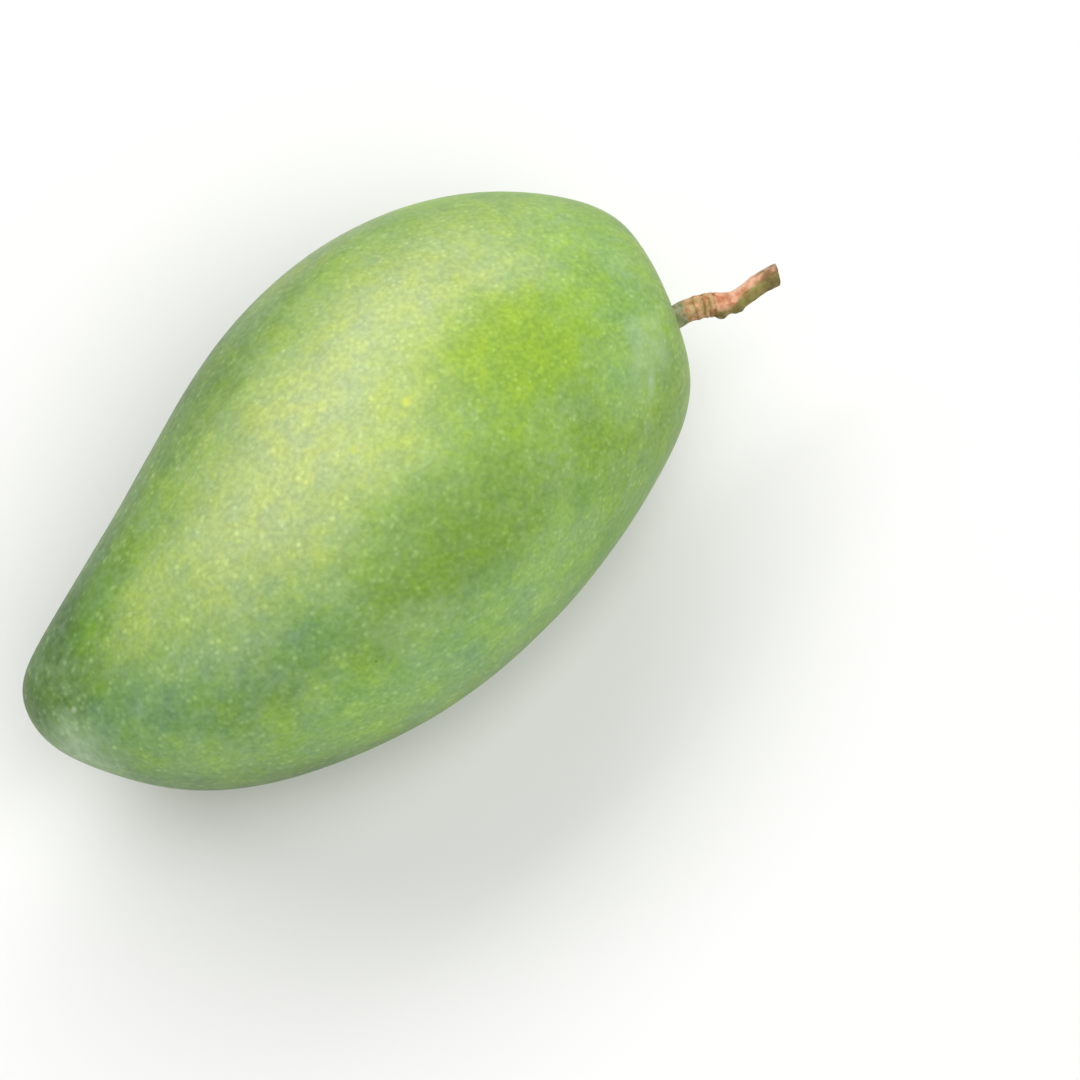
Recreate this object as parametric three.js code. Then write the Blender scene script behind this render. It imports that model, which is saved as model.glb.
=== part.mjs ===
// A green mango with its stem, lying on one of its two broad cheeks.
// Lengths are millimetres. +X points to the stem end and -X to the beak, +Y to the hollow
// ventral side, -Y to the full dorsal side, and +Z up through the thickness of the fruit.
// The origin is the middle of the small flat spot that the fruit rests on.

import * as THREE from 'three';

// The widest outline of the fruit, seen from above: from the tip of the beak along the
// ventral side to the stem, and back along the dorsal side.
const OUTLINE = [
  [-68, 5.5], [-65.5, 12.5], [-58, 16.5], [-46, 20.5], [-30, 26], [-12, 32.5], [5, 35.5],
  [22.5, 34], [39.5, 26.5], [51.5, 15], [55.5, 3], [50, -11], [45.5, -21.5], [34.5, -28],
  [14, -33.5], [-6.5, -35], [-25, -32.5], [-44, -25.5], [-57.5, -15.5], [-65.5, -3.5],
];
const STEM_POINT = 11; // place of the stem in OUTLINE

// The body of the fruit, in cross-sections from the beak (0) to the stem (1).
const MIDDLE_HEIGHT = 30.8; // of the widest outline above the table
const THICKNESS_TO_WIDTH = 0.87; // halfway along the fruit
const THICKER_TOWARDS_BEAK = 0.05; // gain in that ratio from the stem end to the beak
const ROUNDER_ENDS = 0.09; // gain in that ratio at both ends
const FULLNESS = 0.02; // how far a section bulges past an ellipse, as a share of its radius
const DORSAL_FULLNESS = 0.04; // how much thicker the dorsal half is, as a share
const UNEVENNESS = 0.25; // height of the slow waves in the skin

// The hollow that the stem grows out of, measured out from the axis of the stem's foot.
const HOLLOW = { depth: 3.4, radius: 4.4 };
const HOLLOW_RIM = { height: 0.5, radius: 9, width: 3.6 };
const HOLLOW_PUCKERS = { count: 7, depth: 0.12, radius: 6, width: 2.6 };
const HOLLOW_CREASE = { depth: 0.9, start: 2, full: 5, fade: 9, end: 15, width: 1.3, lift: 1, slope: 0.25 };
const HOLLOW_REACH = 30; // nothing of the hollow is felt farther in than this

// The stem: its foot stands in a socket in the hollow, and its middle line then follows
// these points, whose heights are above the widest outline of the fruit.
const STEM_ROUTE = [
  [53.8, -11.8, 0.1], [56.6, -13.1, 0.4], [58.6, -14.6, 0.6], [60.5, -15.9, 0.9],
  [62.4, -16.4, 1], [65.4, -16.7, 1.3], [69, -17.6, 1.5],
];
const FOOT_DEPTH = 1.4; // of the stem's foot below the bottom of the hollow
const SOCKET_GAP = 0.3; // between the foot and its socket, at the sides and below
const STEM_RADIUS = 1.9;
const STEM_TIP = { radius: 1.65, thinnest: 17, start: 13, endRadius: 1.78 };
const RING_SCARS = { places: [10.4, 11.9, 12.8, 13.7], height: 0.13, width: 0.32 };
const TWIG_SCARS = [
  { place: 14.8, angle: 180, height: 0.85, length: 0.8, width: 40 },
  { place: 17, angle: 190, height: 0.55, length: 0.7, width: 40 },
];
const CUT_SLOPE = 15; // degrees between the cut end and a square cut
const CUT_SLOPE_LENGTH = 4;
const PITH_HOLLOW = { radius: 0.95, depth: 0.7 };
const CUT_EDGE = 0.2; // worn off round the cut end

// Fineness of the facets.
const FRUIT_RINGS = 60;
const FRUIT_SIDES = 56;
const STEM_RINGS = 60;
const STEM_SIDES = 16;
const FIRST_RING = 2; // the rings before it are too small to matter at the tip of the beak
const RINGS_IN_SOCKET = 4; // rings that would lie inside the socket, and are left out
const RELAXING_PASSES = 30;

const UP = new THREE.Vector3(0, 0, 1);

const bell = (x, width) => Math.exp(-((x / width) ** 2));

// A closed curve of smoothly changing curvature through all the given points: a cubic
// B-spline whose control points are relaxed until the curve passes through the points.
class SmoothLoop {
  constructor(points) {
    const count = points.length;
    let control = points;
    for (let pass = 0; pass < RELAXING_PASSES; pass += 1) {
      const last = control;
      control = points.map((point, i) => point.clone().multiplyScalar(6)
        .sub(last[(i + count - 1) % count])
        .sub(last[(i + 1) % count])
        .divideScalar(4));
    }
    this.control = control;
  }

  nearControl(index) {
    const count = this.control.length;
    return this.control[((index % count) + count) % count];
  }

  pointAt(place) {
    const index = Math.floor(place);
    const u = place - index;
    const weights = [
      (1 - u) ** 3,
      3 * u ** 3 - 6 * u ** 2 + 4,
      -3 * u ** 3 + 3 * u ** 2 + 3 * u + 1,
      u ** 3,
    ];
    const point = new THREE.Vector3();
    weights.forEach((weight, k) => {
      point.addScaledVector(this.nearControl(index - 1 + k), weight / 6);
    });
    return point;
  }

  // The direction square to the curve at one of its given points, away from the inside.
  outwardAt(index) {
    const along = this.nearControl(index - 1).clone().sub(this.nearControl(index + 1));
    return along.cross(UP).normalize();
  }
}

// One side of a loop, between two of its places, as a curve measured by its length.
class LoopSide extends THREE.Curve {
  constructor(loop, from, to) {
    super();
    this.arcLengthDivisions = 1200;
    this.loop = loop;
    this.from = from;
    this.to = to;
  }

  getPoint(t) {
    return this.loop.pointAt(THREE.MathUtils.lerp(this.from, this.to, t));
  }
}

// A closed skin over rings of points that all have the same number of sides, with a
// single point before the first ring and after the last one.
function skinOver(start, rings, end) {
  const sides = rings[0].length;
  const points = [start, ...rings.flat(), end];
  const at = (ring, side) => 1 + ring * sides + (side % sides);
  const faces = [];
  for (let side = 0; side < sides; side += 1) {
    faces.push(0, at(0, side + 1), at(0, side));
    for (let ring = 0; ring + 1 < rings.length; ring += 1) {
      faces.push(at(ring, side), at(ring, side + 1), at(ring + 1, side + 1));
      faces.push(at(ring, side), at(ring + 1, side + 1), at(ring + 1, side));
    }
    faces.push(at(rings.length - 1, side), at(rings.length - 1, side + 1), points.length - 1);
  }
  const geometry = new THREE.BufferGeometry().setFromPoints(points);
  geometry.setIndex(faces);
  return geometry;
}

const fruitLoop = new SmoothLoop(OUTLINE.map(([x, y]) => new THREE.Vector3(x, y, 0)));
const ventralSide = new LoopSide(fruitLoop, 0, STEM_POINT);
const dorsalSide = new LoopSide(fruitLoop, OUTLINE.length, STEM_POINT);
const stemEnd = fruitLoop.pointAt(STEM_POINT);
const stemAxis = fruitLoop.outwardAt(STEM_POINT);
const ventralWay = UP.clone().cross(stemAxis);

// How far the skin is pressed in along the stem's axis: the hollow, less its raised rim,
// with small puckers round it and a crease that runs out of it on the ventral side.
function hollowDepthAt(point) {
  const fromStemEnd = point.clone().sub(stemEnd);
  if (fromStemEnd.dot(stemAxis) < -HOLLOW_REACH) return 0;
  const sideways = fromStemEnd.dot(ventralWay);
  const radius = Math.hypot(sideways, point.z);
  const turn = Math.atan2(point.z, sideways);
  const cup = HOLLOW.depth * bell(radius, HOLLOW.radius);
  const rim = HOLLOW_RIM.height * bell(radius - HOLLOW_RIM.radius, HOLLOW_RIM.width);
  const puckers = HOLLOW_PUCKERS.depth * Math.sin(HOLLOW_PUCKERS.count * turn)
    * bell(radius - HOLLOW_PUCKERS.radius, HOLLOW_PUCKERS.width);
  const offCrease = point.z + HOLLOW_CREASE.slope * (sideways - HOLLOW_CREASE.full) - HOLLOW_CREASE.lift;
  const crease = HOLLOW_CREASE.depth * bell(offCrease, HOLLOW_CREASE.width)
    * THREE.MathUtils.smoothstep(sideways, HOLLOW_CREASE.start, HOLLOW_CREASE.full)
    * (1 - THREE.MathUtils.smoothstep(sideways, HOLLOW_CREASE.fade, HOLLOW_CREASE.end));
  return cup - rim + puckers + crease;
}

// A point of the skin: share runs from the beak (0) to the stem (1), and turn goes round
// the section from the ventral edge over the top.
function skinPoint(share, turn) {
  const ventral = ventralSide.getPointAt(share);
  const dorsal = dorsalSide.getPointAt(share);
  const halfWidth = ventral.distanceTo(dorsal) / 2;
  const ratio = THICKNESS_TO_WIDTH + THICKER_TOWARDS_BEAK * (0.5 - share)
    + ROUNDER_ENDS * Math.abs(2 * share - 1) ** 3;
  const wave = UNEVENNESS * Math.sin(Math.PI * share)
    * (Math.sin(3 * turn + 5 * share + 0.6) + Math.sin(2 * turn - 7 * share + 1.9)) / 2;
  const swell = 1 + FULLNESS * Math.sin(2 * turn) ** 2 + wave / Math.max(halfWidth, 1);
  const point = dorsal.lerp(ventral, (1 + swell * Math.cos(turn)) / 2);
  point.z = ratio * halfWidth * swell * Math.sin(turn) * (1 - DORSAL_FULLNESS * Math.cos(turn));
  point.addScaledVector(stemAxis, -hollowDepthAt(point));
  point.z = Math.max(point.z + MIDDLE_HEIGHT, 0);
  return point;
}

// A circle of points round the axis of the stem's foot, at a depth below the stem end.
function circleRoundFoot(radius, depth, sides) {
  const middle = stemEnd.clone().addScaledVector(stemAxis, -depth).setZ(MIDDLE_HEIGHT);
  return Array.from({ length: sides }, (_, side) => {
    const turn = (2 * Math.PI * side) / sides;
    return middle.clone()
      .addScaledVector(ventralWay, radius * Math.cos(turn))
      .addScaledVector(UP, radius * Math.sin(turn));
  });
}

// The skin of the fruit, which ends in the plain round socket of the stem's foot.
function fruitSkin() {
  const rings = [];
  for (let ring = FIRST_RING; ring < FRUIT_RINGS - RINGS_IN_SOCKET; ring += 1) {
    const share = (1 - Math.cos((Math.PI * ring) / FRUIT_RINGS)) / 2;
    rings.push(Array.from({ length: FRUIT_SIDES }, (_, side) => (
      skinPoint(share, (2 * Math.PI * side) / FRUIT_SIDES))));
  }
  const socketRadius = STEM_RADIUS + SOCKET_GAP;
  const mouthDepth = HOLLOW.depth * bell(socketRadius, HOLLOW.radius);
  const floorDepth = HOLLOW.depth + FOOT_DEPTH + SOCKET_GAP;
  rings.push(circleRoundFoot(socketRadius, mouthDepth, FRUIT_SIDES));
  rings.push(circleRoundFoot(socketRadius, floorDepth, FRUIT_SIDES));
  rings.push(circleRoundFoot(socketRadius / 2, floorDepth, FRUIT_SIDES));
  const floorMiddle = stemEnd.clone().addScaledVector(stemAxis, -floorDepth).setZ(MIDDLE_HEIGHT);
  return skinOver(skinPoint(0, 0), rings, floorMiddle);
}

function stemMiddleLine() {
  const mouth = stemEnd.clone().setZ(MIDDLE_HEIGHT);
  const foot = mouth.clone().addScaledVector(stemAxis, -(HOLLOW.depth + FOOT_DEPTH));
  const route = STEM_ROUTE.map(([x, y, z]) => new THREE.Vector3(x, y, z + MIDDLE_HEIGHT));
  return new THREE.CatmullRomCurve3([foot, mouth, ...route]);
}

// The stem's radius at a distance from its foot, on the side at an angle in degrees.
function stemRadiusAt(place, degrees, length) {
  const thinning = THREE.MathUtils.smoothstep(place, STEM_TIP.start, STEM_TIP.thinnest);
  const thickening = THREE.MathUtils.smoothstep(place, STEM_TIP.thinnest, length);
  let radius = STEM_RADIUS + (STEM_TIP.radius - STEM_RADIUS) * thinning
    + (STEM_TIP.endRadius - STEM_TIP.radius) * thickening;
  RING_SCARS.places.forEach((scar) => {
    radius += RING_SCARS.height * bell(place - scar, RING_SCARS.width);
  });
  TWIG_SCARS.forEach((scar) => {
    const offAngle = THREE.MathUtils.euclideanModulo(degrees - scar.angle + 180, 360) - 180;
    radius += scar.height * bell(place - scar.place, scar.length) * bell(offAngle, scar.width);
  });
  return radius;
}

function stemSkin() {
  const line = stemMiddleLine();
  const length = line.getLength();
  const cutSlope = Math.tan(THREE.MathUtils.degToRad(CUT_SLOPE));

  // One ring of the skin, inset from the full radius and set back from its own place.
  const ringAt = (share, inset = 0, setBack = 0) => {
    const middle = line.getPointAt(share);
    const along = line.getTangentAt(share);
    const sideways = UP.clone().cross(along).normalize();
    const upwards = along.clone().cross(sideways);
    const place = share * length;
    const shear = cutSlope * THREE.MathUtils.smoothstep(place, length - CUT_SLOPE_LENGTH, length);
    return Array.from({ length: STEM_SIDES }, (_, side) => {
      const turn = (2 * Math.PI * side) / STEM_SIDES;
      const radius = stemRadiusAt(place, THREE.MathUtils.radToDeg(turn), length) - inset;
      return middle.clone()
        .addScaledVector(sideways, radius * Math.cos(turn))
        .addScaledVector(upwards, radius * Math.sin(turn))
        .addScaledVector(along, shear * radius * Math.cos(turn) - setBack);
    });
  };

  const rings = [];
  for (let ring = 0; ring < STEM_RINGS; ring += 1) {
    rings.push(ringAt(ring / STEM_RINGS));
  }
  rings.push(ringAt(1, 0, CUT_EDGE), ringAt(1, CUT_EDGE, 0));
  rings.push(ringAt(1, STEM_TIP.endRadius - PITH_HOLLOW.radius, 0));
  rings.push(ringAt(1, STEM_TIP.endRadius - PITH_HOLLOW.radius / 2, PITH_HOLLOW.depth));
  const pith = line.getPointAt(1).addScaledVector(line.getTangentAt(1), -PITH_HOLLOW.depth);
  return skinOver(line.getPointAt(0), rings, pith);
}

function namedMesh(name, geometry, color, roughness) {
  geometry.computeVertexNormals();
  const material = new THREE.MeshStandardMaterial({ color, roughness, metalness: 0 });
  const mesh = new THREE.Mesh(geometry, material);
  mesh.name = name;
  return mesh;
}

const mango = new THREE.Group();
mango.add(namedMesh('fruit', fruitSkin(), '#91b65c', 0.45));
mango.add(namedMesh('stem', stemSkin(), '#a87a4f', 0.8));

export default mango;
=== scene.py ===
# A green mango with its stem, dressed over its solid model, on a pale floor in soft light.
# The file is laid out as a Blender add-on. Shapes are worked out in millimetres, in the
# frame of the solid model: +X points to the stem end, +Y to the hollow ventral side, +Z up,
# and the origin is the middle of the flat spot that the fruit rests on.
import math

import bpy
from bpy.props import FloatProperty, FloatVectorProperty, IntProperty, PointerProperty
from mathutils import Matrix, Vector, noise


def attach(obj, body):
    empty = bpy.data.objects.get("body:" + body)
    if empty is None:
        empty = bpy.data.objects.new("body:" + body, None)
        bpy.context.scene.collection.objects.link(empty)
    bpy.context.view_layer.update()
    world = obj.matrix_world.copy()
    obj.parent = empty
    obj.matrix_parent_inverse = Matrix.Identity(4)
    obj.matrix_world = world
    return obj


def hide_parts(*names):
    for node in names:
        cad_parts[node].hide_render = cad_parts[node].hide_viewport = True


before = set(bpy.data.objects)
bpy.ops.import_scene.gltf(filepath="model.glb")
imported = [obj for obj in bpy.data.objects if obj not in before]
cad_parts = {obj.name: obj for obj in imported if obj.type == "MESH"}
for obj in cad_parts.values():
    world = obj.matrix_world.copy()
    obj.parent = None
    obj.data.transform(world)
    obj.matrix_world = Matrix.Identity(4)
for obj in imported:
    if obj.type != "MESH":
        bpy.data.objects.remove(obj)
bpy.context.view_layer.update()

bl_info = {
    "name": "Green Mango",
    "version": (1, 0, 0),
    "blender": (4, 5, 0),
    "location": "View3D > Sidebar > Mango",
    "description": "Adds a green mango with its stem, and a pale stage for it",
    "category": "Add Mesh",
}

MM = 0.001
UP = Vector((0, 0, 1))
ROOT = "root"

# ---------------------------------------------------------------------------
# Form of the fruit, in millimetres: the same values as in the solid model.

OUTLINE = [
    (-68, 5.5), (-65.5, 12.5), (-58, 16.5), (-46, 20.5), (-30, 26), (-12, 32.5), (5, 35.5),
    (22.5, 34), (39.5, 26.5), (51.5, 15), (55.5, 3), (50, -11), (45.5, -21.5), (34.5, -28),
    (14, -33.5), (-6.5, -35), (-25, -32.5), (-44, -25.5), (-57.5, -15.5), (-65.5, -3.5),
]
STEM_POINT = 11  # place of the stem in OUTLINE

MIDDLE_HEIGHT = 30.8  # of the widest outline above the floor
THICKNESS_TO_WIDTH = 0.87
THICKER_TOWARDS_BEAK = 0.05
ROUNDER_ENDS = 0.09
FULLNESS = 0.02
DORSAL_FULLNESS = 0.04
UNEVENNESS = 0.25
SKIN_WAVES = ((3, 5, 0.6), (2, -7, 1.9))  # waves round and along the fruit, and their start

HOLLOW_DEPTH = 3.4
HOLLOW_RADIUS = 4.4
HOLLOW_REACH = 30
RIM_HEIGHT, RIM_RADIUS, RIM_WIDTH = 0.5, 9, 3.6
PUCKERS, PUCKER_DEPTH, PUCKER_RADIUS, PUCKER_WIDTH = 7, 0.12, 6, 2.6
CREASE_DEPTH, CREASE_WIDTH, CREASE_LIFT, CREASE_SLOPE = 0.9, 1.3, 1, 0.25
CREASE_START, CREASE_FULL, CREASE_FADE, CREASE_END = 2, 5, 9, 15

# The stem: its middle line, with heights above the widest outline, and its scars by their
# distance from the foot.
STEM_ROUTE = [
    (53.8, -11.8, 0.1), (56.6, -13.1, 0.4), (58.6, -14.6, 0.6), (60.5, -15.9, 0.9),
    (62.4, -16.4, 1), (65.4, -16.7, 1.3), (69, -17.6, 1.5),
]
FOOT_DEPTH = 1.4
STEM_RADIUS = 1.9
TIP_START, TIP_THINNEST, TIP_RADIUS, TIP_END_RADIUS = 13, 17, 1.65, 1.78
RING_SCARS, RING_HEIGHT, RING_WIDTH = (10.4, 11.9, 12.8, 13.7), 0.13, 0.32
TWIG_SCARS = [  # place, angle, height, length, width in degrees
    (14.8, 180, 0.85, 0.8, 40),
    (17, 190, 0.55, 0.7, 40),
]
CUT_SLOPE = math.radians(15)
CUT_SLOPE_LENGTH = 4
PITH_RADIUS, PITH_DEPTH = 0.95, 0.7
PITH_RINGS = ((0.85, 0.6), (0.5, 1))  # shares of the pith's radius and depth
CUT_EDGE = 0.2

# Finer relief than the solid model has.
SKIN_UNEVENNESS, SKIN_WAVE = 0.09, 11
COLLAR_HEIGHT, COLLAR_RADIUS, COLLAR_WIDTH = 0.22, 2.75, 0.42
WRINKLES, WRINKLE_DEPTH, WRINKLE_RADIUS, WRINKLE_WIDTH = 17, 0.07, 4.6, 2.4
WRINKLE_WANDER, WRINKLE_WANDER_SIZE = 2, 3
STYLE_SCAR = Vector((-62.6, 6.2, 43))
STYLE_SCAR_HEIGHT, STYLE_SCAR_RADIUS = 0.28, 0.75
STYLE_SCAR_PIT, STYLE_SCAR_PIT_RADIUS = 0.22, 0.3
BARK_FISSURE, BARK_FISSURE_LENGTH, BARK_FISSURE_WIDTH = 0.09, 1.8, 0.55
BARK_GRAIN, BARK_GRAIN_SIZE = 0.045, 0.42
RING_WANDER, RING_WAVES, RING_SPREAD = 0.22, 1.3, 4
RING_LINE_WIDTH = 0.2
TWIG_PIT_DEPTH, TWIG_PIT_SIZE = 0.3, 0.34
CUT_ROUGHNESS = 0.07

# Fineness of the meshes.
RELAXING_PASSES = 30
SIDE_STEPS = 1200
ROUTE_NUDGE = 0.002  # share of a route to each side of a point, for its direction
STEM_END_SHARE = 1 - ROUTE_NUDGE
FIRST_RING = 3
RINGS_IN_SOCKET = 14
SOCKET_CLEARANCE = 0.06
SOCKET_LIPS = (2.3, 2.1, 2.0)


def bell(x, width):
    return math.exp(-((x / width) ** 2))


def smooth_step(x, low, high):
    t = min(max((x - low) / (high - low), 0), 1)
    return t * t * (3 - 2 * t)


def shade(hex_code):
    """The linear colour, with alpha, of a web colour."""
    parts = [int(hex_code[i:i + 2], 16) / 255 for i in (1, 3, 5)]
    return tuple(c / 12.92 if c <= 0.04045 else ((c + 0.055) / 1.055) ** 2.4 for c in parts) + (1.0,)


class SmoothLoop:
    """A closed curve of smoothly changing curvature through all the given points."""

    def __init__(self, points):
        count = len(points)
        control = list(points)
        for _ in range(RELAXING_PASSES):
            control = [
                (points[i] * 6 - control[i - 1] - control[(i + 1) % count]) / 4
                for i in range(count)
            ]
        self.control = control

    def near(self, index):
        return self.control[index % len(self.control)]

    def point_at(self, place):
        index = math.floor(place)
        u = place - index
        weights = ((1 - u) ** 3, 3 * u**3 - 6 * u**2 + 4, -3 * u**3 + 3 * u**2 + 3 * u + 1, u**3)
        return sum((self.near(index - 1 + k) * w / 6 for k, w in enumerate(weights)), Vector((0, 0, 0)))

    def outward_at(self, index):
        return (self.near(index - 1) - self.near(index + 1)).cross(UP).normalized()


class Route:
    """A curve measured by its length, from a function of 0 to 1."""

    def __init__(self, point_at, steps=SIDE_STEPS):
        self.points = [point_at(step / steps) for step in range(steps + 1)]
        self.lengths = [0.0]
        for a, b in zip(self.points, self.points[1:]):
            self.lengths.append(self.lengths[-1] + (b - a).length)
        self.length = self.lengths[-1]

    def at(self, share):
        wanted = min(max(share, 0), 1) * self.length
        low, high = 0, len(self.lengths) - 1
        while high - low > 1:
            middle = (low + high) // 2
            if self.lengths[middle] <= wanted:
                low = middle
            else:
                high = middle
        step = self.lengths[high] - self.lengths[low]
        return self.points[low].lerp(self.points[high], (wanted - self.lengths[low]) / step)

    def direction_at(self, share):
        return (self.at(share + ROUTE_NUDGE) - self.at(share - ROUTE_NUDGE)).normalized()


LOOP = SmoothLoop([Vector((x, y, 0)) for x, y in OUTLINE])
VENTRAL = Route(lambda t: LOOP.point_at(t * STEM_POINT))
DORSAL = Route(lambda t: LOOP.point_at(len(OUTLINE) + t * (STEM_POINT - len(OUTLINE))))
STEM_END = LOOP.point_at(STEM_POINT)
STEM_AXIS = LOOP.outward_at(STEM_POINT)
VENTRAL_WAY = UP.cross(STEM_AXIS)


def hollow_depth_at(point):
    """How far the skin is pressed in along the stem's axis: cup, rim, puckers and crease."""
    from_end = point - STEM_END
    if from_end.dot(STEM_AXIS) < -HOLLOW_REACH:
        return 0
    sideways = from_end.dot(VENTRAL_WAY)
    radius = math.hypot(sideways, point.z)
    turn = math.atan2(point.z, sideways)
    cup = HOLLOW_DEPTH * bell(radius, HOLLOW_RADIUS)
    rim = RIM_HEIGHT * bell(radius - RIM_RADIUS, RIM_WIDTH)
    puckers = PUCKER_DEPTH * math.sin(PUCKERS * turn) * bell(radius - PUCKER_RADIUS, PUCKER_WIDTH)
    off_crease = point.z + CREASE_SLOPE * (sideways - CREASE_FULL) - CREASE_LIFT
    crease = CREASE_DEPTH * bell(off_crease, CREASE_WIDTH)
    crease *= smooth_step(sideways, CREASE_START, CREASE_FULL)
    crease *= 1 - smooth_step(sideways, CREASE_FADE, CREASE_END)
    return cup - rim + puckers + crease


def skin_point(share, turn):
    """A point of the skin: share runs from beak to stem, turn goes round from the ventral edge."""
    ventral = VENTRAL.at(share)
    dorsal = DORSAL.at(share)
    half_width = (ventral - dorsal).length / 2
    ratio = THICKNESS_TO_WIDTH + THICKER_TOWARDS_BEAK * (0.5 - share)
    ratio += ROUNDER_ENDS * abs(2 * share - 1) ** 3
    wave = sum(math.sin(round_way * turn + along * share + start) for round_way, along, start in SKIN_WAVES)
    wave *= UNEVENNESS * math.sin(math.pi * share) / 2
    swell = 1 + FULLNESS * math.sin(2 * turn) ** 2 + wave / max(half_width, 1)
    point = dorsal.lerp(ventral, (1 + swell * math.cos(turn)) / 2)
    point.z = ratio * half_width * swell * math.sin(turn) * (1 - DORSAL_FULLNESS * math.cos(turn))
    point -= STEM_AXIS * hollow_depth_at(point)
    point.z = max(point.z + MIDDLE_HEIGHT, 0)
    return point


def circle_round_foot(radius, depth, sides):
    middle = STEM_END - STEM_AXIS * depth + UP * MIDDLE_HEIGHT
    turns = [2 * math.pi * side / sides for side in range(sides)]
    return [middle + VENTRAL_WAY * (radius * math.cos(t)) + UP * (radius * math.sin(t)) for t in turns]


def skin_relief_at(point, radius, turn):
    """How far the skin stands out of the solid model's: swellings, collar, wrinkles and style scar."""
    height = SKIN_UNEVENNESS * noise.noise(point / SKIN_WAVE)
    if radius < HOLLOW_REACH:
        height += COLLAR_HEIGHT * bell(radius - COLLAR_RADIUS, COLLAR_WIDTH)
        folds = math.sin(WRINKLES * turn + WRINKLE_WANDER * noise.noise(point / WRINKLE_WANDER_SIZE))
        height -= WRINKLE_DEPTH * (0.5 + 0.5 * folds) * bell(radius - WRINKLE_RADIUS, WRINKLE_WIDTH)
    from_scar = (point - STYLE_SCAR).length
    height += STYLE_SCAR_HEIGHT * bell(from_scar, STYLE_SCAR_RADIUS)
    height -= STYLE_SCAR_PIT * bell(from_scar, STYLE_SCAR_PIT_RADIUS)
    return height


# ---------------------------------------------------------------------------
# Meshes

def skin_over(start, rings, end):
    """Points and faces of a closed skin over rings with the same number of sides."""
    sides = len(rings[0])
    points = [start]
    for ring in rings:
        points.extend(ring)
    points.append(end)

    def at(ring, side):
        return 1 + ring * sides + side % sides

    faces = []
    for side in range(sides):
        faces.append((0, at(0, side + 1), at(0, side)))
        for ring in range(len(rings) - 1):
            faces.append((at(ring, side), at(ring, side + 1), at(ring + 1, side + 1), at(ring + 1, side)))
        faces.append((at(len(rings) - 1, side), at(len(rings) - 1, side + 1), len(points) - 1))
    return points, faces


def add_piece(name, points, faces, replaced, material):
    """A smooth mesh object from points in millimetres, which stands for a node of the solid model."""
    mesh = bpy.data.meshes.new(name)
    mesh.from_pydata([point * MM for point in points], [], faces)
    mesh.shade_smooth()
    mesh.materials.append(material)
    piece = bpy.data.objects.new(name, mesh)
    bpy.context.scene.collection.objects.link(piece)
    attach(piece, ROOT)
    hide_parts(replaced)
    return piece


def write_numbers(piece, name, values):
    """A number for each point of the mesh, which the material reads by its name."""
    piece.data.attributes.new(name, "FLOAT", "POINT").data.foreach_set("value", values)


def write_places(piece, name, places):
    """A place for each point of the mesh, which the material reads by its name."""
    flat = [part for place in places for part in place]
    piece.data.attributes.new(name, "FLOAT_VECTOR", "POINT").data.foreach_set("vector", flat)


class SkinPoint:
    """A point of the dressed skin, with what its colours depend on."""

    def __init__(self, place, share, turn):
        from_end = place - UP * MIDDLE_HEIGHT - STEM_END
        sideways = from_end.dot(VENTRAL_WAY)
        on_stem_side = from_end.dot(STEM_AXIS) > -HOLLOW_REACH
        self.place = place
        self.from_stem = math.hypot(sideways, from_end.z) if on_stem_side else HOLLOW_REACH
        self.round_stem = math.atan2(from_end.z, sideways)
        self.meridian = Vector((math.cos(turn), math.sin(turn), share))


def dressed_skin(rings, shares, turns):
    """The points of the rings, moved out along the skin by its fine relief."""
    sides = len(turns)
    dressed = []
    for index, ring in enumerate(rings):
        before, after = rings[max(index - 1, 0)], rings[min(index + 1, len(rings) - 1)]
        for side, place in enumerate(ring):
            point = SkinPoint(place, shares[index], turns[side])
            round_way = ring[(side + 1) % sides] - ring[side - 1]
            outward = round_way.cross(after[side] - before[side]).normalized()
            height = skin_relief_at(place, point.from_stem, point.round_stem)
            point.place = place + outward * height
            point.place.z = max(point.place.z, 0)
            dressed.append(point)
    return dressed


def make_fruit(looks, material):
    sides = looks.fruit_sides
    turns = [2 * math.pi * side / sides for side in range(sides)]
    shares = [(1 - math.cos(math.pi * ring / looks.fruit_rings)) / 2
              for ring in range(FIRST_RING, looks.fruit_rings - RINGS_IN_SOCKET)]
    rings = [[skin_point(share, turn) for turn in turns] for share in shares]
    for radius in SOCKET_LIPS:
        rings.append(circle_round_foot(radius, HOLLOW_DEPTH * bell(radius, HOLLOW_RADIUS), sides))
    shares.extend([1] * len(SOCKET_LIPS))
    dressed = dressed_skin(rings, shares, turns)

    floor_depth = HOLLOW_DEPTH + FOOT_DEPTH + SOCKET_CLEARANCE
    wall = [circle_round_foot(STEM_RADIUS + SOCKET_CLEARANCE, depth, sides)
            for depth in (HOLLOW_DEPTH, floor_depth)]
    floor = STEM_END - STEM_AXIS * floor_depth + UP * MIDDLE_HEIGHT
    beak = SkinPoint(skin_point(0, 0), 0, 0)
    inside = [SkinPoint(place, 1, turn) for ring in wall for place, turn in zip(ring, turns)]
    everything = [beak] + dressed + inside + [SkinPoint(floor, 1, 0)]

    skin = [
        [point.place for point in dressed[ring * sides:(ring + 1) * sides]]
        for ring in range(len(rings))
    ]
    points, faces = skin_over(beak.place, skin + wall, floor)
    piece = add_piece("mango_fruit", points, faces, "fruit", material)
    write_numbers(piece, "from_stem", [point.from_stem for point in everything])
    write_places(piece, "meridian", [point.meridian for point in everything])
    return piece


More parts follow.
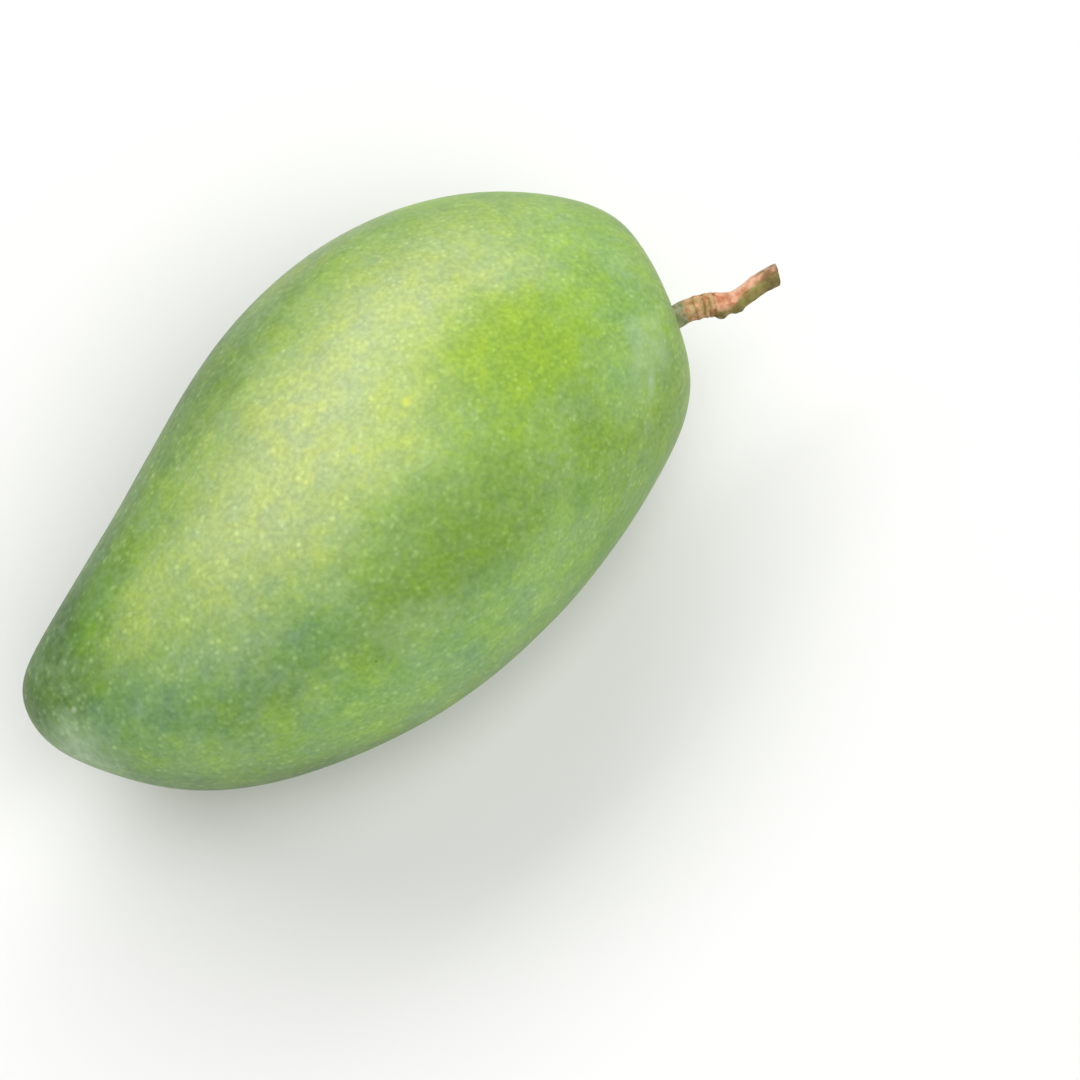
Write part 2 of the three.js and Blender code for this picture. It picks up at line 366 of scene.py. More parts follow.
def bark_relief_at(place, along, degrees):
    """How far the bark stands out: fissures along the stem and fine grain."""
    turn = math.radians(degrees)
    lengthwise = Vector((math.cos(turn) * STEM_RADIUS / BARK_FISSURE_WIDTH,
                         math.sin(turn) * STEM_RADIUS / BARK_FISSURE_WIDTH,
                         along / BARK_FISSURE_LENGTH))
    return (BARK_FISSURE * noise.noise(lengthwise)
            + BARK_GRAIN * noise.fractal(place / BARK_GRAIN_SIZE, 1, 2, 3))


def ring_wander_at(along, degrees):
    """How far the ring scars are moved along the stem, round it."""
    x, y = math.cos(math.radians(degrees)), math.sin(math.radians(degrees))
    return RING_WANDER * noise.noise(Vector((x * RING_WAVES, y * RING_WAVES, along / RING_SPREAD)))


def ring_line_at(along, degrees):
    """1 on the ring scars, which wander a little, and 0 between them."""
    wandering = along + ring_wander_at(along, degrees)
    return sum(bell(wandering - scar, RING_LINE_WIDTH) for scar in RING_SCARS)


def stem_radius_at(along, degrees, length):
    thinning = smooth_step(along, TIP_START, TIP_THINNEST)
    thickening = smooth_step(along, TIP_THINNEST, length)
    radius = STEM_RADIUS + (TIP_RADIUS - STEM_RADIUS) * thinning
    radius += (TIP_END_RADIUS - TIP_RADIUS) * thickening
    wandering = along + ring_wander_at(along, degrees)
    radius += sum(RING_HEIGHT * bell(wandering - scar - RING_WIDTH, RING_WIDTH) for scar in RING_SCARS)
    for scar, angle, height, scar_length, width in TWIG_SCARS:
        off_angle = (degrees - angle + 180) % 360 - 180
        radius += height * bell(along - scar, scar_length) * bell(off_angle, width)
        pit = bell(along - scar, scar_length * TWIG_PIT_SIZE) * bell(off_angle, width * TWIG_PIT_SIZE)
        radius -= TWIG_PIT_DEPTH * pit
    return radius


def catmull_rom(points):
    """A function of 0 to 1 that runs smoothly through the points."""
    spans = len(points) - 1
    ends = [points[0] * 2 - points[1]] + points + [points[-1] * 2 - points[-2]]

    def point_at(t):
        index = min(int(t * spans), spans - 1)
        u = t * spans - index
        before, a, b, after = ends[index:index + 4]
        knots = [0.0]
        for p, q in ((before, a), (a, b), (b, after)):
            knots.append(knots[-1] + (q - p).length ** 0.5)
        x = knots[1] + u * (knots[2] - knots[1])

        def between(p, q, low, high):
            return p.lerp(q, (x - low) / (high - low))

        first = between(before, a, knots[0], knots[1])
        second = between(a, b, knots[1], knots[2])
        third = between(b, after, knots[2], knots[3])
        left = between(first, second, knots[0], knots[2])
        right = between(second, third, knots[1], knots[3])
        return between(left, right, knots[1], knots[2])

    return point_at


def stem_line():
    mouth = STEM_END + UP * MIDDLE_HEIGHT
    foot = mouth - STEM_AXIS * (HOLLOW_DEPTH + FOOT_DEPTH)
    route = [Vector((x, y, z + MIDDLE_HEIGHT)) for x, y, z in STEM_ROUTE]
    return Route(catmull_rom([foot, mouth] + route))


class StemRing:
    """One ring of the stem's skin, square to its line or leaning with the cut end."""

    def __init__(self, line, share):
        self.middle = line.at(share)
        self.way = line.direction_at(min(share, STEM_END_SHARE))
        self.sideways = UP.cross(self.way).normalized()
        self.upwards = self.way.cross(self.sideways)
        self.along = share * line.length
        leaning = smooth_step(self.along, line.length - CUT_SLOPE_LENGTH, line.length)
        self.lean = math.tan(CUT_SLOPE) * leaning
        self.length = line.length

    def points(self, sides, inset=0.0, set_back=0.0, roughness=0.0):
        places = []
        for side in range(sides):
            turn = 2 * math.pi * side / sides
            radius = stem_radius_at(self.along, math.degrees(turn), self.length) - inset
            outward = self.sideways * math.cos(turn) + self.upwards * math.sin(turn)
            place = self.middle + outward * radius
            place += self.way * (self.lean * radius * math.cos(turn) - set_back)
            if inset == 0:
                place += outward * bark_relief_at(place, self.along, math.degrees(turn))
            place += self.way * roughness * noise.noise(place / BARK_GRAIN_SIZE)
            places.append(place)
        return places


def make_stem(looks, material):
    line = stem_line()
    sides = looks.stem_sides
    degrees = [360 * side / sides for side in range(sides)]
    rings, along, scars, insets = [], [], [], []

    def add_ring(share, inset=0.0, set_back=0.0, roughness=0.0):
        ring = StemRing(line, share)
        rings.append(ring.points(sides, inset, set_back, roughness))
        along.extend([ring.along] * sides)
        insets.extend([inset] * sides)
        scars.extend([ring_line_at(ring.along, turn) for turn in degrees])

    for ring in range(looks.stem_rings):
        add_ring(ring / looks.stem_rings)
    add_ring(1, 0, CUT_EDGE)
    for inset in (CUT_EDGE, 2 * CUT_EDGE, 3 * CUT_EDGE, TIP_END_RADIUS - PITH_RADIUS):
        add_ring(1, inset, 0, CUT_ROUGHNESS)
    for radius_share, depth_share in PITH_RINGS:
        inset = TIP_END_RADIUS - PITH_RADIUS * radius_share
        add_ring(1, inset, PITH_DEPTH * depth_share, CUT_ROUGHNESS)

    end = line.at(1) - line.direction_at(STEM_END_SHARE) * PITH_DEPTH
    points, faces = skin_over(line.at(0), rings, end)
    piece = add_piece("mango_stem", points, faces, "stem", material)
    write_numbers(piece, "along", [0] + along + [line.length])
    write_numbers(piece, "ring_scar", [0] + scars + [0])
    write_numbers(piece, "inset", [0] + insets + [TIP_END_RADIUS])
    turns = [math.radians(angle) for angle in degrees] * len(rings)
    round_ways = [Vector((math.cos(turn), math.sin(turn), 0)) for turn in turns]
    write_places(piece, "round", [Vector((0, 0, 0))] + round_ways + [Vector((0, 0, 0))])
    return piece


# ---------------------------------------------------------------------------
# Shader maths

class Value:
    """An output socket in a material. Sums on a number add Math nodes."""

    def __init__(self, look, socket):
        self.look = look
        self.socket = socket

    def sum_with(self, operation, first, second):
        settings = {"operation": operation}
        return self.look.node("ShaderNodeMath", settings, {0: first, 1: second}).value()

    def __add__(self, other):
        return self.sum_with("ADD", self, other)

    def __radd__(self, other):
        return self.sum_with("ADD", other, self)

    def __sub__(self, other):
        return self.sum_with("SUBTRACT", self, other)

    def __rsub__(self, other):
        return self.sum_with("SUBTRACT", other, self)

    def __mul__(self, other):
        return self.sum_with("MULTIPLY", self, other)

    def __rmul__(self, other):
        return self.sum_with("MULTIPLY", other, self)


class Node:
    """A node that was just added, with short ways to its outputs."""

    def __init__(self, look, node):
        self.look = look
        self.outputs = node.outputs

    def value(self, output=0):
        return Value(self.look, self.outputs[output])


class Look:
    """A material around one Principled shader, and short ways to add nodes to it."""

    def __init__(self, name):
        self.material = bpy.data.materials.new(name)
        self.material.use_nodes = True
        self.tree = self.material.node_tree
        self.shader = self.tree.nodes["Principled BSDF"]

    def node(self, kind, settings=None, sockets=None):
        """A node of a type, with its settings made before its sockets get values or links."""
        node = self.tree.nodes.new(kind)
        for name, setting in (settings or {}).items():
            if name == "stops":
                self.place_stops(node.color_ramp.elements, setting)
            else:
                setattr(node, name, setting)
        for socket, value in (sockets or {}).items():
            self.feed(node.inputs[socket], value)
        return Node(self, node)

    def place_stops(self, elements, stops):
        while len(elements) < len(stops):
            elements.new(1)
        for element, (position, colour) in zip(elements, stops):
            element.position = position
            element.color = colour

    def feed(self, socket, value):
        if isinstance(value, Value):
            self.tree.links.new(value.socket, socket)
        else:
            socket.default_value = value

    def finish(self, **sockets):
        """Values and links of the shader's own sockets, with _ for each space in a name."""
        for name, value in sockets.items():
            self.feed(self.shader.inputs[name.replace("_", " ")], value)
        return self.material

    def vector(self, operation, first, second):
        return self.node("ShaderNodeVectorMath", {"operation": operation}, {0: first, 1: second}).value()

    def scaled(self, vector, scale):
        return self.node("ShaderNodeVectorMath", {"operation": "SCALE"}, {0: vector, "Scale": scale}).value()

    def length(self, vector):
        return self.node("ShaderNodeVectorMath", {"operation": "LENGTH"}, {0: vector}).value("Value")

    def place(self):
        """Where a point is on the piece, in millimetres."""
        return self.scaled(self.node("ShaderNodeTexCoord").value("Object"), 1 / MM)

    def number(self, name):
        return self.node("ShaderNodeAttribute", {"attribute_name": name}).value("Fac")

    def direction(self, name):
        return self.node("ShaderNodeAttribute", {"attribute_name": name}).value("Vector")

    def part(self, vector, axis):
        return self.node("ShaderNodeSeparateXYZ", None, {0: vector}).value(axis)

    def noise(self, place, size, detail=2.0, output="Fac"):
        """Soft random patches of about a size, in the units of the place."""
        sockets = {"Vector": place, "Scale": 1 / size, "Detail": detail}
        return self.node("ShaderNodeTexNoise", None, sockets).value(output)

    def noise_way(self, place, size):
        """A short vector that drifts from place to place, to make edges wander."""
        return self.vector("SUBTRACT", self.noise(place, size, 3, "Color"), (0.5, 0.5, 0.5))

    def rise(self, value, low, high):
        """0 below low and 1 above high, with a smooth slope between. It falls where low is higher."""
        settings = {"interpolation_type": "SMOOTHSTEP"}
        sockets = {"Value": value, "From Min": low, "From Max": high}
        return self.node("ShaderNodeMapRange", settings, sockets).value()

    def mix(self, share, first, second, blend="MIX"):
        settings = {"data_type": "RGBA", "blend_type": blend}
        return self.node("ShaderNodeMix", settings, {0: share, 6: first, 7: second}).value(2)

    def ramp(self, value, stops):
        return self.node("ShaderNodeValToRGB", {"stops": stops}, {"Fac": value}).value("Color")

    def dots(self, place, spacing, radius, softness):
        """Small round dots at random places. Their apparent size varies."""
        sockets = {"Vector": place, "Scale": 1 / spacing}
        cells = self.node("ShaderNodeTexVoronoi", None, sockets)
        return self.rise(cells.value("Distance"), radius / spacing, radius * (1 - softness) / spacing)

    def zone(self, place, middle, reach, turn, core=0.3):
        """1 in the core of an oval zone, turned about the upright, and 0 outside it."""
        from_middle = self.vector("SUBTRACT", place, middle)
        sockets = {"Vector": from_middle, "Angle": -turn}
        turned = self.node("ShaderNodeVectorRotate", {"rotation_type": "Z_AXIS"}, sockets).value()
        return self.rise(self.length(self.vector("DIVIDE", turned, reach)), 1, core)

    def bump(self, height, depth):
        """The shading of a relief whose height runs from 0 to 1 over a depth in millimetres."""
        sockets = {"Height": height, "Distance": depth * MM}
        return self.node("ShaderNodeBump", None, sockets).value()


# ---------------------------------------------------------------------------
# Skin

class Zone:
    """An oval zone of the skin with a colour, in millimetres, turned by degrees about the upright.

    Its share of the colour is full in the core and fades to none at the reach. Where it is
    rubbed, the bloom is thinner.
    """

    def __init__(self, colour, middle, reach, turn=0, core=0.3, share=0.9, rubbed=0):
        self.colour = colour
        self.middle = middle
        self.reach = reach
        self.turn = math.radians(turn)
        self.core = core
        self.share = share
        self.rubbed = rubbed

    def share_at(self, look, place):
        return look.zone(place, self.middle, self.reach, self.turn, self.core) * self.share


# Each list is laid on in its order.
PALER_ZONES = (
    Zone("pale_flank", (-14, -33, 44), (62, 17, 24), -4, share=0.95),
    Zone("shoulder", (40, -2, 51), (20, 24, 20), share=0.6),
)
DEEPER_ZONES = (
    # Partly deeper green, partly painted shade: the ventral flank and the beak are darker on the side turned
    # from the light.
    Zone("dark_and_shaded_flank", (-20, 40, 30), (72, 30, 42), 14, share=0.95),
    Zone("dark_and_shaded_flank", (-58, 15, 38), (34, 18, 26), 25, share=0.95),
    Zone("blue_green", (-58, -9, 44), (23, 19, 24), -30),
    Zone("blue_green", (-37, -11, 54), (32, 10, 18), -25),
    # Painted shade along the low edge towards the beak.
    Zone("painted_edge_shade", (-44, -24, 27), (36, 12, 13), -32, core=0, share=0.6, rubbed=0.5),
    # Painted green reflection along the low edge near the stem.
    Zone("leafy_and_reflection", (20, -31, 35), (28, 9, 13), 18, core=0, share=0.55, rubbed=0.5),
)
CLOSE_ZONES = (  # their edges don't wander
    # Painted grey sheen high on the ventral side.
    Zone("painted_grey_sheen", (14, 31, 45), (27, 8, 11), 12, core=0.2),
    # Partly deeper green, partly painted shade on the flank and the beak.
    Zone("dark_and_shaded_flank", (-10, 24, 53), (28, 7.5, 9), 17, share=0.33),
    Zone("dark_and_shaded_flank", (-60.5, 3.5, 42.5), (8, 6, 8), share=0.4),
    Zone("blue_green", (-37, -16, 51.5), (12, 7, 8), -35, share=0.45),
    Zone("dark_and_shaded_flank", (-38, -16, 51.5), (12, 6, 8), -35, share=0.22),
    Zone("green", (-50, 6.5, 48), (11, 7, 9), 25, share=0.55),
    # Paler skin with a painted sheen, where the band along the top runs towards the beak.
    Zone("pale_crest_and_sheen", (-46, 4.5, 50), (15, 6, 10), 22, share=0.3),
    Zone("pale_flank", (-42, -22, 44), (9, 6, 7), -40, share=0.4),
    Zone("shoulder", (-54, -14.5, 41), (18, 6, 8), -38, share=0.75),
    # Partly painted green reflection.
    Zone("leafy_and_reflection", (17, -27, 49), (8, 5, 6), share=0.4, rubbed=0.5),
    Zone("leafy_and_reflection", (-49, 11.5, 45), (13, 5, 7), 25, share=0.4, rubbed=0.8),
)
# The pale crest zones here are partly paler skin and partly a painted sheen along the top.
CREST_ZONES = (
    Zone("pale_crest_and_sheen", (-3, 5.6, 60), (66, 22, 30), 10, core=0.2),
    Zone("warm_crest", (5, 1, 62), (19, 8.5, 12), 36, share=0.5),
    Zone("pale_crest_and_sheen", (31, 5.5, 57), (10, 6, 8), share=0.35),
    Zone("deep_green", (-6, -20.5, 57), (30, 13, 16), 4, rubbed=0.5),
    Zone("shoulder", (32, -18.5, 51), (9, 6.5, 8), 25, share=0.5),
    Zone("shoulder", (8, -30, 48), (11, 5, 7), 10, share=0.5),
)
RAGGED_ZONES = (
    Zone("yellow_green", (24.5, -3.3, 59), (15.5, 14.5, 17), core=0.35, share=0.68, rubbed=1),
    Zone("yellow_green", (15, -4.5, 60), (23, 15, 18), 8, core=0.15, share=0.36, rubbed=1),
    Zone("yellow_green", (41, -1.5, 52.7), (6, 5, 7), share=0.45, rubbed=1),
)
BLOOM_ZONES = (
    Zone("bloom", (-67.5, -1.5, 35), (14, 9.5, 12.5), -30, core=0, share=0.85),
    Zone("bloom", (40, -17.5, 49), (9, 6.5, 9), 45, core=0.1, share=0.3),
    Zone("bloom", (-16, -25.5, 52.5), (10, 6, 8), -20, core=0.1, share=0.25),
)
SCUFFS = (  # short pale rubs
    Zone("bloom", (37.7, -20.3, 47), (5.2, 0.8, 5), 45, core=0, share=1),
    Zone("bloom", (39.5, -20.8, 44), (3.2, 0.4, 4), 42, core=0, share=0.6),
    Zone("bloom", (26, -28.5, 42), (6, 0.45, 5), 30, core=0, share=0.6),
)
SMALL_MARKS = (
    Zone("ripe_spot", (4.6, -1.1, 62.6), (1.2, 1.2, 2.5), core=0.1, share=0.5),
    Zone("ripe_spot", (-4.9, 7.2, 61.5), (1.4, 1.4, 2.5), core=0.1, share=0.3),
    Zone("ripe_spot", (-6.1, -1.4, 62.4), (1.2, 1.2, 2.5), core=0.1, share=0.3),
    Zone("scar", (-61.9, 2, 41.6), (0.75, 0.75, 1.5), core=0.1, share=0.5),
    Zone("scar", tuple(STYLE_SCAR), (0.8, 0.8, 2), core=0.2, share=0.5),
)

# Heights and share of the painted shade that darkens the skin towards the bottom.
UNDERSIDE_TOP, UNDERSIDE_FULL, UNDERSIDE_SHARE = 40, 22, 0.8
ZONE_WANDER, ZONE_WANDER_SIZE = 8, 11
PATCH_EDGE, PATCH_EDGE_SIZE = 10, 5.5
BLOOM_EDGE, BLOOM_EDGE_SIZE = 9, 5
MOTTLE_SIZE, FINE_MOTTLE_SIZE, GRAIN_SIZE = 7, 3.2, 0.8
HOLLOW_SHADE_REACH = 9
BLOOM_PATCH_SIZE, BLOOM_BREAK_SIZE, SCUFF_GRAIN_SIZE = 8, 1.5, 1.2
COARSE_SPACING, COARSE_RADIUS = 1.5, 1.3  # of the coarse dots, as multiples of the fine ones'
DOTS_START, DOTS_FULL = 3, 12  # from the stem
SPECK_SPACING, SPECK_RADIUS, SPECK_GROUP_SIZE = 7.5, 0.32, 9
STREAKS_END, STREAKS_FULL = 26, 8  # from the stem
CORK_END, CORK_FULL = 3.9, 2.6  # from the stem
PORE_SIZE, PEEL_SIZE, SKIN_BUMP = 0.35, 2.2, 0.055


def clouded(look, colours, ground, clouds, amount):
    """The ground with a warmer tint where the clouds are 1 and a cooler one where they are 0."""
    cool = look.mix(amount, ground, colours.cool_tint, "MULTIPLY")
    warm = look.mix(amount, ground, colours.warm_tint, "MULTIPLY")
    return look.mix(clouds, cool, warm)


def laid_on(look, colours, ground, place, zones):
    """The ground with the zones' colours on it, and how far they are rubbed."""
    rubbed = 0.0
    for zone in zones:
        share = zone.share_at(look, place)
        ground = look.mix(share, ground, getattr(colours, zone.colour))
        rubbed = share * zone.rubbed + rubbed if zone.rubbed else rubbed
    return ground, rubbed


def skin_ground(look, colours, place):
    """The green of the skin and its zones, among them painted shade, sheen and reflection, before bloom and
    dots, and how far it is rubbed.
    """
    near = look.vector("ADD", place, look.scaled(look.noise_way(place, ZONE_WANDER_SIZE), ZONE_WANDER))
    ragged = look.vector("ADD", near, look.scaled(look.noise_way(place, PATCH_EDGE_SIZE), PATCH_EDGE))
    under_shade = look.rise(look.part(near, "Z"), UNDERSIDE_TOP, UNDERSIDE_FULL) * UNDERSIDE_SHARE
    clouds = look.rise(look.noise(place, MOTTLE_SIZE, 4), 0.3, 0.7)

    ground, _ = laid_on(look, colours, colours.green, near, PALER_ZONES)
    # Painted shade: the skin darkens towards the bottom.
    ground = look.mix(under_shade, ground, colours.underside_shade)
    ground, deeper = laid_on(look, colours, ground, near, DEEPER_ZONES)
    ground, close = laid_on(look, colours, ground, place, CLOSE_ZONES)
    ground = clouded(look, colours, ground, clouds, 1.0)
    ground, pale_crest_and_sheen = laid_on(look, colours, ground, near, CREST_ZONES)
    ground, patch = laid_on(look, colours, ground, ragged, RAGGED_ZONES)
    return ground, deeper + close + pale_crest_and_sheen + patch


def mottled(look, colours, ground, place):
    """The ground with fine clouds of yellower and bluer green, and darker grains."""
    clouds = look.rise(look.noise(place, FINE_MOTTLE_SIZE, 3), 0.25, 0.75)
    ground = clouded(look, colours, ground, clouds, 0.85)
    grain = look.rise(look.noise(place, GRAIN_SIZE, 3), 0.3, 0.7)
    return look.mix(grain, look.mix(0.95, ground, colours.grain_tint, "MULTIPLY"), ground)


def bloom_share(look, colours, place, rubbed, from_stem):
    """How thickly the pale wax bloom lies, from 0 to 1. It is rubbed off in places."""
    broad = look.rise(look.noise(place, BLOOM_PATCH_SIZE, 2), 0.25, 0.85)
    broken = look.rise(look.noise(place, BLOOM_BREAK_SIZE, 4), 0.3, 0.7)
    film = colours.bloom_amount * (0.5 * broad + broken * (0.35 + 0.5 * broad)) * look.rise(rubbed, 1, 0)
    film = film + look.rise(from_stem, HOLLOW_SHADE_REACH, 2) * 0.35
    near = look.vector("ADD", place, look.scaled(look.noise_way(place, BLOOM_EDGE_SIZE), BLOOM_EDGE))
    for zone in BLOOM_ZONES:
        film = film + zone.share_at(look, near) * (0.8 + 0.3 * broken)
    scratchy = 0.15 + 0.35 * look.noise(place, SCUFF_GRAIN_SIZE, 3)
    for scuff in SCUFFS:
        film = film + scuff.share_at(look, place) * scratchy
    return film


def dotted(look, colours, skin, place, from_stem):
    """The skin with its pale breathing dots, finer towards the stem."""
    spacing, radius = colours.dot_spacing / MM, colours.dot_radius / MM
    fine = look.dots(place, spacing, radius, 1)
    coarse = look.dots(place, spacing * COARSE_SPACING, radius * COARSE_RADIUS, 0.95)
    x = look.part(place, "X")
    towards_beak = look.rise(x, 20, -30)
    strength = look.rise(look.noise(place, 3, 1), 0.2, 0.75)
    seen = fine * strength * (0.62 - 0.1 * towards_beak) + coarse * strength * (0.3 + 0.45 * towards_beak)
    seen = colours.dot_amount * seen * look.rise(from_stem, DOTS_START, DOTS_FULL)
    dotted_skin = look.mix(seen, skin, colours.dot, "ADD")
    groups = look.rise(look.noise(place, SPECK_GROUP_SIZE, 0), 0.45, 0.6)
    dark = look.dots(place, SPECK_SPACING, SPECK_RADIUS, 0.6) * groups
    return look.mix(dark * 0.55, dotted_skin, colours.speck), seen


def round_the_stem(look, colours, skin, from_stem, meridian):
    """Painted shade as darker green in the hollow, faint streaks out of it, and a corky ring at the foot."""
    stretched = look.vector("MULTIPLY", meridian, (9, 9, 4))
    streaks = look.rise(look.noise(stretched, 0.6, 3), 0.45, 0.75)
    streaks = streaks * look.rise(from_stem, STREAKS_END, STREAKS_FULL) * look.rise(from_stem, 3, 7)
    skin = look.mix(streaks * 0.22, skin, colours.streak)
    # Painted shade in the hollow round the stem.
    skin = look.mix(look.rise(from_stem, HOLLOW_SHADE_REACH, 2.5) * 0.45, skin, colours.hollow)
    brown = look.rise(look.noise(look.vector("MULTIPLY", meridian, (14, 14, 30)), 1, 3), 0.4, 0.7)
    cork = look.rise(from_stem, CORK_END, CORK_FULL) * (0.35 + 0.55 * brown)
    return look.mix(cork, skin, colours.cork)


def green_skin(colours):
    look = Look("mango_skin")
    place = look.place()
    from_stem = look.number("from_stem")
    meridian = look.direction("meridian")
    ground, rubbed = skin_ground(look, colours, place)
    ground = mottled(look, colours, ground, place)
    bloom = bloom_share(look, colours, place, rubbed, from_stem)
    skin = look.mix(bloom, ground, colours.bloom)
    skin, dots = dotted(look, colours, skin, place, from_stem)
    skin = round_the_stem(look, colours, skin, from_stem, meridian)
    skin, _ = laid_on(look, colours, skin, place, SMALL_MARKS)

    pores = look.noise(place, PORE_SIZE, 3)
    relief = 0.3 * pores + 0.3 * dots + 0.5 * look.noise(place, PEEL_SIZE, 3)
    roughness = colours.roughness + 0.14 * bloom - 0.05 * rubbed + 0.06 * look.noise(place, 4, 2)
    return look.finish(
        Base_Color=skin,
        Roughness=roughness,
        Normal=look.bump(relief, SKIN_BUMP),
        Specular_IOR_Level=0.2,
        Subsurface_Weight=0.08,
        Subsurface_Radius=(0.5, 1, 0.25),
        Subsurface_Scale=0.8 * MM,
    )


# ---------------------------------------------------------------------------
# Bark

# Where the bark changes, by the distance from the foot: from the first number to the second.
FIRST_PART = (8.1, 9.3)
SECOND_PART = (13, 14.2)
SPECKED = (7.5, 9)
# Span of the painted light on the lit side of the second part.
LIT_SIDE = (14.5, 18.5)
SHADE_ENDS = (15.5, 19)
DRY_TIP = (21, 23.4)
FIBRES_ROUND, FIBRES_ALONG = 7, 0.55
BARK_SPECK_SPACING, BARK_SPECK_RADIUS = 0.9, 0.28
BARK_PORE_SIZE, BARK_BUMP = 0.22, 0.06


def bark_ground(look, colours, along, underside_shade, lit_side, patches, greener):
    """The bark's colours from the grey-green foot to the pink and olive tip, with painted light on one side
    of the second part and painted shade on the other.
    """
    foot = look.mix(patches, colours.foot, colours.foot_light)
    first = look.mix(patches, colours.tan, colours.brown)
    first = look.mix(greener * 0.45, first, colours.green_tan)
    second = look.mix(patches, colours.pink, colours.orange)
    second = look.mix(lit_side * 0.55, second, colours.lit_pale_pink)
    shaded = look.mix(patches * 0.5, colours.olive, colours.olive_dark)
    second = look.mix(underside_shade, second, shaded)
    wander = (patches - 0.5) * 0.8
    ground = look.mix(look.rise(along + wander, *FIRST_PART), foot, first)
    return look.mix(look.rise(along + wander, *SECOND_PART), ground, second)


def stem_bark(colours):
    look = Look("mango_bark")
    place = look.place()
    along = look.number("along")
    scar = look.number("ring_scar")
    inset = look.number("inset")
    round_way = look.direction("round")
    ventral = look.part(round_way, "X")

    patches = look.rise(look.noise(place, 1.1, 4), 0.35, 0.65)
    greener = look.rise(look.noise(place, 1.6, 3), 0.42, 0.62)
    ragged = look.noise(place, 0.8, 3) * 0.5
    # Painted light and shade: the second part is partly paler on the side towards the light and olive on the
    # side away from it.
    underside_shade = look.rise(ventral + ragged - 0.75 * look.rise(along, *SHADE_ENDS), -0.25, -0.85)
    lit_side = look.rise(ventral + ragged, 0.3, 1.1) * look.rise(along, *LIT_SIDE)
    ground = bark_ground(look, colours, along, underside_shade, lit_side, patches, greener)

    fibres = look.node("ShaderNodeCombineXYZ", None, {
        "X": look.part(round_way, "X") * FIBRES_ROUND,
        "Y": look.part(round_way, "Y") * FIBRES_ROUND,
        "Z": along * FIBRES_ALONG,
    }).value()
    streaks = look.rise(look.noise(fibres, 1, 3), 0.45, 0.7)
    ground = look.mix(streaks * 0.35, ground, colours.streak)
    groups = look.rise(look.noise(place, 1.4, 2), 0.45, 0.65)
    specks = look.dots(place, BARK_SPECK_SPACING, BARK_SPECK_RADIUS, 0.8) * groups
    ground = look.mix(specks * look.rise(along, *SPECKED) * 0.5, ground, colours.speck)
    ground = look.mix(scar * (0.2 + 0.45 * patches), ground, colours.ring)
    for scar_along, *_ in TWIG_SCARS:
        near = look.rise(along, scar_along - 1, scar_along) * look.rise(along, scar_along + 1, scar_along)
        ground = look.mix(near * look.rise(ventral, -0.6, -0.95) * 0.7, ground, colours.olive_dark)
    ground = look.mix(look.rise(along, *DRY_TIP) * (0.4 + 0.4 * patches), ground, colours.tip)

    cut = look.ramp(look.rise(inset, 0, TIP_END_RADIUS), (
        (0.0, colours.tip),
        (0.12, colours.cream),
        (0.42, colours.wood),
        (0.62, colours.pith),
    ))
    ground = look.mix(look.rise(inset, 0.02, 0.15), ground, cut)
    relief = 0.5 * look.noise(place, BARK_PORE_SIZE, 4) + 0.5 * streaks
    return look.finish(
        Base_Color=ground,
        Roughness=0.68 + 0.2 * patches,
        Normal=look.bump(relief, BARK_BUMP),
        Specular_IOR_Level=0.3,
    )


# ---------------------------------------------------------------------------
# Stage

LAMPS = (  # name, direction from the fruit, distance, long and short side, all in metres, and power
    ("overhead", Vector((0.1, -0.3, 0.9)), 2.5, (2.25, 2.25), 49.5),
    ("strip", Vector((0.22, 0.62, 0.75)), 1.75, (2.25, 0.65), 22),
    ("fill", Vector((-0.1, -0.8, 0.6)), 2.5, (3, 2), 5.6),
)
FLOOR_SIDE = 6
SENSOR = 36


def view_back(stage):
    """The direction from the fruit to the camera."""
    return Vector((
        math.sin(stage.azimuth) * math.cos(stage.elevation),
        -math.cos(stage.azimuth) * math.cos(stage.elevation),
        math.sin(stage.elevation),
    ))


def facing(back, sideways):
    """The turn of a camera or lamp whose back points along back, with its X side near sideways."""
    right = (sideways - back * back.dot(sideways)).normalized()
    return Matrix((right, back.cross(right), back)).transposed().to_4x4()


def add_object(name, data, matrix):
    added = bpy.data.objects.new(name, data)
    bpy.context.scene.collection.objects.link(added)
    added.matrix_world = matrix
    return added


def make_camera(stage):
    data = bpy.data.cameras.new("camera")
    data.lens = stage.lens
    data.sensor_width = SENSOR
    data.sensor_fit = "HORIZONTAL"
    data.clip_end = 20
    back = view_back(stage)
    eye = Vector(stage.look_at) + back * stage.distance
    turn = facing(back, UP.cross(back))
    bpy.context.scene.camera = add_object("camera", data, Matrix.Translation(eye) @ turn)


def make_lamp(name, way, distance, sides, power):
    data = bpy.data.lights.new(name, "AREA")
    data.shape = "RECTANGLE"
    data.size, data.size_y = sides
    data.energy = power
    back = way.normalized()
    add_object(name, data, Matrix.Translation(back * distance) @ facing(back, Vector((1, 0, 0))))


def make_floor(stage):
    bpy.ops.mesh.primitive_plane_add(size=FLOOR_SIDE)
    floor = bpy.context.object
    floor.name = "floor"
    look = Look("pale_floor")
    floor.data.materials.append(look.finish(Base_Color=stage.floor_colour, Roughness=0.9))


def make_world(stage):
    world = bpy.data.worlds.new("soft_room")
    world.use_nodes = True
    background = world.node_tree.nodes["Background"]
    background.inputs["Color"].default_value = (1, 1, 1, 1)
    background.inputs["Strength"].default_value = stage.room_light
    bpy.context.scene.world = world


# ---------------------------------------------------------------------------
# Settings, operators and panel

def colour_setting(name, description, hex_code):
    return FloatVectorProperty(name=name, description=description, subtype="COLOR", size=4,
                               min=0, max=1, default=shade(hex_code))


def share_setting(name, description, default):
    return FloatProperty(name=name, description=description, subtype="FACTOR", min=0, max=1,
                         default=default)


